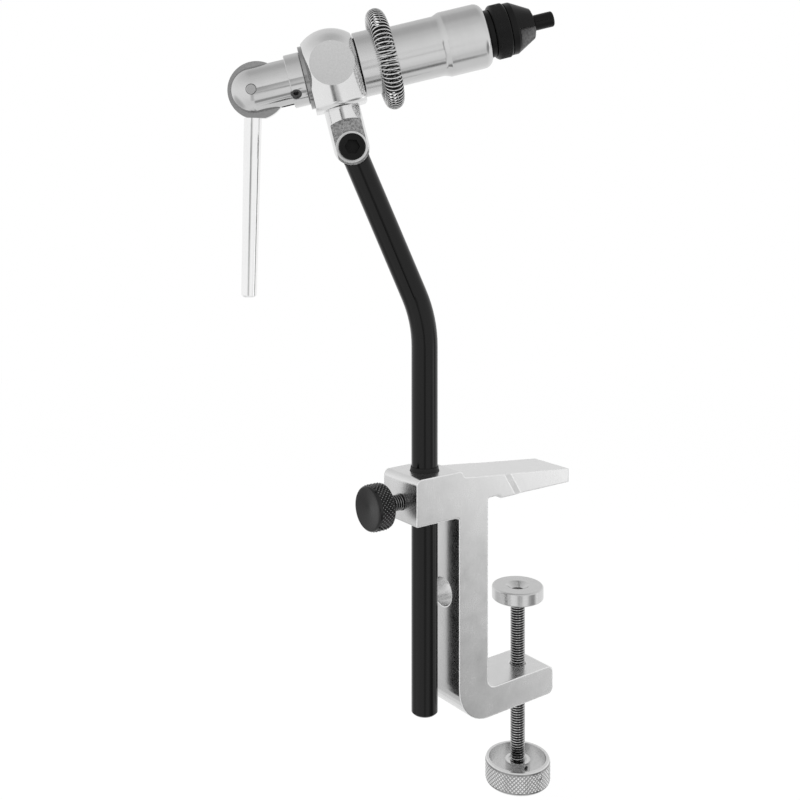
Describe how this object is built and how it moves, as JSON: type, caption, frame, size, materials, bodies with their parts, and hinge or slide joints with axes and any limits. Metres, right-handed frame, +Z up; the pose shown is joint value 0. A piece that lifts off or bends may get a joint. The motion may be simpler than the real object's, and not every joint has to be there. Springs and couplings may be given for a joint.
{
  "type": "fly tying vise",
  "caption": "Rotary fly tying vise: collet jaws on a turning barrel with a cam lever, held by a bent stem on a C-clamp for a table edge.",
  "frame": {"origin": "where the clamp screw's axis meets the underside of the clamp's upper arm, the face that sits on the table", "axes": "+X along the clamp's arms away from the stem, +Z up along the stem and the clamp screw"},
  "size_m": [0.131, 0.0714, 0.31],
  "materials": {
    "satin_aluminium": "satin, fine brushed",
    "turned_aluminium": "turned, satin",
    "satin_barrel": "turned, satin clear anodised",
    "polished_aluminium": "polished",
    "polished_steel": "polished",
    "bright_steel": "bright turned",
    "dark_thread": "dark oiled steel",
    "black_steel": "black oxide",
    "black_anodised": "black anodised, satin gloss",
    "spring_steel": "bright spring wire",
    "black_nylon": "black nylon",
    "brass": "plain",
    "bronze": "sintered bronze"
  },
  "bodies": {
    "clamp": {"clamp_frame": "satin_aluminium"},
    "pad": {"clamp_pad": "turned_aluminium"},
    "screw": {"clamp_screw": "dark_thread", "clamp_knob": "turned_aluminium", "knob_set_screw": "dark_thread", "pad_screw": "dark_thread"},
    "lock_slug": {"lock_pad": "brass"},
    "lock": {"lock_screw": "dark_thread", "lock_knob": "black_anodised"},
    "bush": {"stem_bush": "black_nylon"},
    "post": {"stem": "black_anodised", "pivot_washer": "bright_steel", "pivot_bolt": "black_steel"},
    "head": {"head_post": "polished_aluminium", "rear_bush": "bronze", "front_bush": "bronze"},
    "rotor": {"spindle": "satin_barrel", "rear_washer": "bright_steel", "front_washer": "black_nylon", "tail_housing": "polished_aluminium", "tail_set_screws": "dark_thread", "lever_pin": "bright_steel", "material_spring": "spring_steel", "collet_neck": "black_steel", "return_spring": "spring_steel"},
    "lever": {"lever_cam": "polished_steel", "lever_rod": "polished_steel"},
    "plunger": {"push_rod": "bright_steel"},
    "jaw_a": {"jaw_upper": "black_steel"},
    "jaw_b": {"jaw_lower": "black_steel"},
    "ring": {"adjust_ring": "black_steel"},
    "nose": {"nose_cone": "black_steel"}
  },
  "joints": [
    {"name": "pad_travel", "type": "slide", "parent": "clamp", "child": "pad", "axis": [0, 0, 1], "range_m": [-0.025, 0.027]},
    {"name": "screw_turn", "type": "hinge", "parent": "pad", "child": "screw", "pos_m": [0, 0, -0.08], "axis": [0, 0, 1], "range_deg": [-9000, 9720]},
    {"name": "lock_travel", "type": "slide", "parent": "clamp", "child": "lock_slug", "axis": [-1, 0, 0], "range_m": [0, 0.003]},
    {"name": "lock_turn", "type": "hinge", "parent": "lock_slug", "child": "lock", "pos_m": [-0.0477, 0, 0.0033], "axis": [-1, 0, 0], "range_deg": [0, 1080]},
    {"name": "stem_swivel", "type": "hinge", "parent": "clamp", "child": "bush", "pos_m": [-0.0477, 0, 0], "axis": [0, 0, 1], "continuous": true},
    {"name": "stem_height", "type": "slide", "parent": "bush", "child": "post", "axis": [0, 0, 1], "range_m": [-0.045, 0.06]},
    {"name": "head_tilt", "type": "hinge", "parent": "post", "child": "head", "pos_m": [-0.07116, 0.01466, 0.13557], "axis": [-0.5299, -0.848, 0], "range_deg": [-40, 40]},
    {"name": "spindle_turn", "type": "hinge", "parent": "head", "child": "rotor", "pos_m": [-0.07717, 0.01842, 0.164], "axis": [0.8229, -0.5142, 0.2419], "continuous": true},
    {"name": "lever_swing", "type": "hinge", "parent": "rotor", "child": "lever", "pos_m": [-0.1026, 0.0343, 0.15653], "axis": [0.5299, 0.848, 0], "range_deg": [0, 95]},
    {"name": "push_travel", "type": "slide", "parent": "rotor", "child": "plunger", "axis": [-0.8229, 0.5142, -0.2419], "range_m": [0, 0.0012]},
    {"name": "upper_jaw_opens", "type": "hinge", "parent": "plunger", "child": "jaw_a", "pos_m": [-0.02262, -0.01567, 0.18004], "axis": [-0.5299, -0.848, 0], "range_deg": [0, 1.6]},
    {"name": "lower_jaw_opens", "type": "hinge", "parent": "plunger", "child": "jaw_b", "pos_m": [-0.02262, -0.01567, 0.18004], "axis": [0.5299, 0.848, 0], "range_deg": [0, 1.6]},
    {"name": "ring_turn", "type": "hinge", "parent": "rotor", "child": "ring", "pos_m": [-0.07717, 0.01842, 0.164], "axis": [0.8229, -0.5142, 0.2419], "range_deg": [0, 360]},
    {"name": "nose_travel", "type": "slide", "parent": "rotor", "child": "nose", "axis": [0.8229, -0.5142, 0.2419], "range_m": [0, 0.001]}
  ],
  "couplings": [
    {"joint": "pad_travel", "follows": "screw_turn", "m_per_rad": 0.00015915},
    {"joint": "lock_travel", "follows": "lock_turn", "m_per_rad": 0.00015915},
    {"joint": "push_travel", "follows": "lever_swing", "m_per_rad": 0.00072373},
    {"joint": "upper_jaw_opens", "follows": "lever_swing", "ratio": 0.016842},
    {"joint": "lower_jaw_opens", "follows": "lever_swing", "ratio": 0.016842},
    {"joint": "nose_travel", "follows": "ring_turn", "m_per_rad": 0.00015915}
  ]
}
